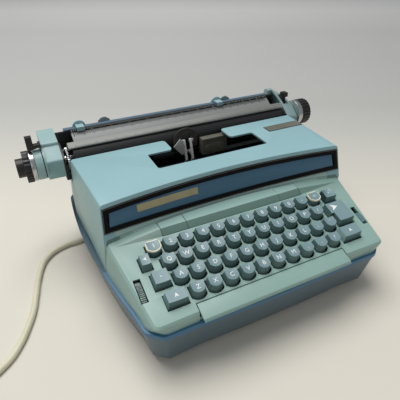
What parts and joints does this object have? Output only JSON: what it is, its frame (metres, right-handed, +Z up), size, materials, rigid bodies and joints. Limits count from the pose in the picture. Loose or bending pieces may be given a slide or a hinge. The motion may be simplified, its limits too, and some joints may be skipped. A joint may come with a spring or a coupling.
{
  "type": "electric typewriter",
  "caption": "Portable electric typewriter in two blues: rows of keys, space bar, type basket, lift-off cover, sliding carriage with platen and knobs, and a coiled mains cord.",
  "frame": {"origin": "on the floor, below the middle of the machine's own box, free cord left out", "axes": "+X to the typist's right along the platen, +Y from the keyboard to the back, +Z up"},
  "size_m": [0.6595, 0.3285, 0.1706],
  "materials": {
    "pan_blue": "satin",
    "foot_rubber": "matte",
    "frame_steel": "satin",
    "deck_green": "satin",
    "case_blue": "satin",
    "motor_steel": "satin",
    "belt_rubber": "matte",
    "roller_steel": "polished",
    "chrome": "polished",
    "card_dark": "satin",
    "cord_ivory": "matte",
    "cover_blue": "satin",
    "frame_black": "gloss",
    "insert_blue": "satin",
    "carriage_black": "satin",
    "table_grey": "satin",
    "scale_black": "matte",
    "scale_blue": "satin",
    "platen_rubber": "matte",
    "knob_black": "gloss",
    "bail_grey": "satin",
    "stop_blue": "satin",
    "cartridge_black": "satin",
    "type_steel": "satin",
    "key_blue": "satin",
    "ring_ivory": "satin",
    "tab_grey": "satin",
    "switch_blue": "satin"
  },
  "bodies": {
    "machine": {"base_pan": "pan_blue", "rubber_feet": "foot_rubber", "chassis_frame": "frame_steel", "keyboard_housing": "deck_green", "rear_housing": "case_blue", "motor": "motor_steel", "drive_belt": "belt_rubber", "type_guide": "chrome", "card_holder": "card_dark", "cord_gland": "cord_ivory", "power_cord": "cord_ivory", "cord_coil": "cord_ivory", "plug": "cord_ivory"},
    "roller": {"power_roller": "roller_steel"},
    "motor_rotor": {"motor_pulley": "roller_steel"},
    "cover": {"top_cover": "cover_blue", "front_frame": "frame_black", "frame_insert": "insert_blue"},
    "carriage": {"carriage_frame": "carriage_black", "left_end_cover": "case_blue", "right_end_cover": "case_blue", "paper_table": "table_grey", "margin_scale": "scale_black", "scale_cover": "scale_blue", "feed_rollers": "platen_rubber"},
    "platen_roll": {"platen": "platen_rubber", "platen_shaft": "chrome", "left_knob": "knob_black", "right_knob": "knob_black"},
    "bail": {"paper_bail": "bail_grey"},
    "carriage_release": {"carriage_release_lever": "knob_black"},
    "paper_release": {"paper_release_lever": "knob_black"},
    "stop_left": {"margin_stop_left": "stop_blue"},
    "stop_right": {"margin_stop_right": "stop_blue"},
    "cartridge": {"ribbon_cartridge": "cartridge_black"},
    "basket": {"type_segment": "frame_steel", "type_bars": "type_steel"},
    "center_bar": {"center_type_bar": "type_steel"},
    "number_row": {"number_row_keys": "key_blue", "number_row_levers": "frame_steel", "key_rings": "ring_ivory"},
    "upper_row": {"upper_row_keys": "key_blue", "upper_row_levers": "frame_steel"},
    "home_row": {"home_row_keys": "key_blue", "home_row_levers": "frame_steel"},
    "lower_row": {"lower_row_keys": "key_blue", "lower_row_levers": "frame_steel"},
    "letter": {"letter_key": "key_blue"},
    "backspace": {"backspace_key": "key_blue"},
    "shift_lock": {"shift_lock_key": "key_blue"},
    "shift": {"shift_keys": "key_blue"},
    "margin_release": {"margin_release_key": "key_blue"},
    "return_key_body": {"return_key": "key_blue"},
    "space": {"space_bar": "deck_green"},
    "tab": {"tab_bar": "tab_grey"},
    "tab_clear": {"tab_clear_button": "tab_grey"},
    "tab_set": {"tab_set_button": "tab_grey"},
    "wheel": {"impression_wheel": "roller_steel"},
    "switch": {"power_switch": "switch_blue"}
  },
  "joints": [
    {"name": "number_row_press", "type": "hinge", "parent": "machine", "child": "number_row", "pos_m": [0.008, 0.086, 0.045], "axis": [1, 0, 0], "range_deg": [0, 1.53], "stiffness_Nm_per_rad": 10, "springref_deg": -2.01},
    {"name": "upper_row_press", "type": "hinge", "parent": "machine", "child": "upper_row", "pos_m": [0.008, 0.086, 0.045], "axis": [1, 0, 0], "range_deg": [0, 1.36], "stiffness_Nm_per_rad": 10, "springref_deg": -2.01},
    {"name": "home_row_press", "type": "hinge", "parent": "machine", "child": "home_row", "pos_m": [0.008, 0.086, 0.045], "axis": [1, 0, 0], "range_deg": [0, 1.22], "stiffness_Nm_per_rad": 10, "springref_deg": -2.01},
    {"name": "lower_row_press", "type": "hinge", "parent": "machine", "child": "lower_row", "pos_m": [0.008, 0.086, 0.045], "axis": [1, 0, 0], "range_deg": [0, 1.11], "stiffness_Nm_per_rad": 10, "springref_deg": -2.01},
    {"name": "letter_press", "type": "hinge", "parent": "machine", "child": "letter", "pos_m": [0.008, 0.086, 0.045], "axis": [1, 0, 0], "range_deg": [0, 1.22], "stiffness_Nm_per_rad": 3, "springref_deg": -1.72},
    {"name": "backspace_press", "type": "hinge", "parent": "machine", "child": "backspace", "pos_m": [0.008, 0.086, 0.045], "axis": [1, 0, 0], "range_deg": [0, 1.42], "stiffness_Nm_per_rad": 3, "springref_deg": -1.72},
    {"name": "shift_lock_press", "type": "hinge", "parent": "machine", "child": "shift_lock", "pos_m": [0.008, 0.086, 0.045], "axis": [1, 0, 0], "range_deg": [0, 1.25], "stiffness_Nm_per_rad": 3, "springref_deg": -1.72},
    {"name": "shift_press", "type": "hinge", "parent": "machine", "child": "shift", "pos_m": [0.008, 0.086, 0.045], "axis": [1, 0, 0], "range_deg": [0, 1.11], "stiffness_Nm_per_rad": 6, "springref_deg": -2.29},
    {"name": "margin_release_press", "type": "hinge", "parent": "machine", "child": "margin_release", "pos_m": [0.008, 0.086, 0.045], "axis": [1, 0, 0], "range_deg": [0, 1.51], "stiffness_Nm_per_rad": 3, "springref_deg": -1.72},
    {"name": "return_press", "type": "hinge", "parent": "machine", "child": "return_key_body", "pos_m": [0.008, 0.086, 0.045], "axis": [1, 0, 0], "range_deg": [0, 1.29], "stiffness_Nm_per_rad": 4, "springref_deg": -1.72},
    {"name": "space_press", "type": "hinge", "parent": "machine", "child": "space", "pos_m": [0.008, 0.086, 0.045], "axis": [1, 0, 0], "range_deg": [0, 1.02], "stiffness_Nm_per_rad": 6, "springref_deg": -2.01},
    {"name": "basket_shift", "type": "slide", "parent": "machine", "child": "basket", "axis": [0, 0, -1], "range_m": [0, 0.0065], "stiffness_N_per_m": 300, "springref_m": -0.012},
    {"name": "center_bar_swing", "type": "hinge", "parent": "basket", "child": "center_bar", "pos_m": [0.001, 0.06672, 0.07746], "axis": [-1, 0, 0], "range_deg": [0, 95]},
    {"name": "cover_lift", "type": "slide", "parent": "machine", "child": "cover", "axis": [0, 0, 1], "range_m": [0, 0.12]},
    {"name": "carriage_slide", "type": "slide", "parent": "machine", "child": "carriage", "axis": [1, 0, 0], "range_m": [-0.13, 0.13]},
    {"name": "platen_turn", "type": "hinge", "parent": "carriage", "child": "platen_roll", "pos_m": [0.008, 0.102, 0.133], "axis": [1, 0, 0], "continuous": true},
    {"name": "bail_lift", "type": "hinge", "parent": "carriage", "child": "bail", "pos_m": [0.008, 0.121, 0.135], "axis": [-1, 0, 0], "range_deg": [0, 40]},
    {"name": "carriage_release_press", "type": "hinge", "parent": "carriage", "child": "carriage_release", "pos_m": [-0.18, 0.128, 0.146], "axis": [-1, 0, 0], "range_deg": [0, 20], "stiffness_Nm_per_rad": 0.2, "springref_deg": -11.46},
    {"name": "paper_release_pull", "type": "hinge", "parent": "carriage", "child": "paper_release", "pos_m": [0.18, 0.116, 0.146], "axis": [1, 0, 0], "range_deg": [0, 15], "stiffness_Nm_per_rad": 0.2, "springref_deg": -11.46},
    {"name": "stop_left_slide", "type": "slide", "parent": "carriage", "child": "stop_left", "axis": [1, 0, 0], "range_m": [-0.012, 0.12]},
    {"name": "stop_right_slide", "type": "slide", "parent": "carriage", "child": "stop_right", "axis": [1, 0, 0], "range_m": [-0.06, 0.072]},
    {"name": "cartridge_slide", "type": "slide", "parent": "machine", "child": "cartridge", "axis": [1, 0, 0], "range_m": [0, 0.06]},
    {"name": "roller_spin", "type": "hinge", "parent": "machine", "child": "roller", "pos_m": [0.008, 0.041, 0.06], "axis": [1, 0, 0], "continuous": true},
    {"name": "motor_spin", "type": "hinge", "parent": "machine", "child": "motor_rotor", "pos_m": [0.139, 0.118, 0.036], "axis": [1, 0, 0], "continuous": true},
    {"name": "tab_press", "type": "slide", "parent": "machine", "child": "tab", "axis": [0, 0, -1], "range_m": [0, 0.003], "stiffness_N_per_m": 300, "springref_m": -0.004},
    {"name": "tab_clear_press", "type": "slide", "parent": "machine", "child": "tab_clear", "axis": [0, 0, -1], "range_m": [0, 0.003], "stiffness_N_per_m": 300, "springref_m": -0.004},
    {"name": "tab_set_press", "type": "slide", "parent": "machine", "child": "tab_set", "axis": [0, 0, -1], "range_m": [0, 0.003], "stiffness_N_per_m": 300, "springref_m": -0.004},
    {"name": "impression_turn", "type": "hinge", "parent": "machine", "child": "wheel", "pos_m": [-0.1326, -0.09452, 0.06442], "axis": [1, 0, 0], "range_deg": [-40, 40]},
    {"name": "switch_slide", "type": "slide", "parent": "machine", "child": "switch", "axis": [0, 0.9556, 0.2948], "range_m": [0, 0.008]}
  ],
  "couplings": [
    {"joint": "basket_shift", "follows": "shift_press", "m_per_rad": 0.3355},
    {"joint": "letter_press", "follows": "center_bar_swing", "ratio": 0.01284},
    {"joint": "motor_spin", "follows": "roller_spin", "ratio": 2}
  ]
}
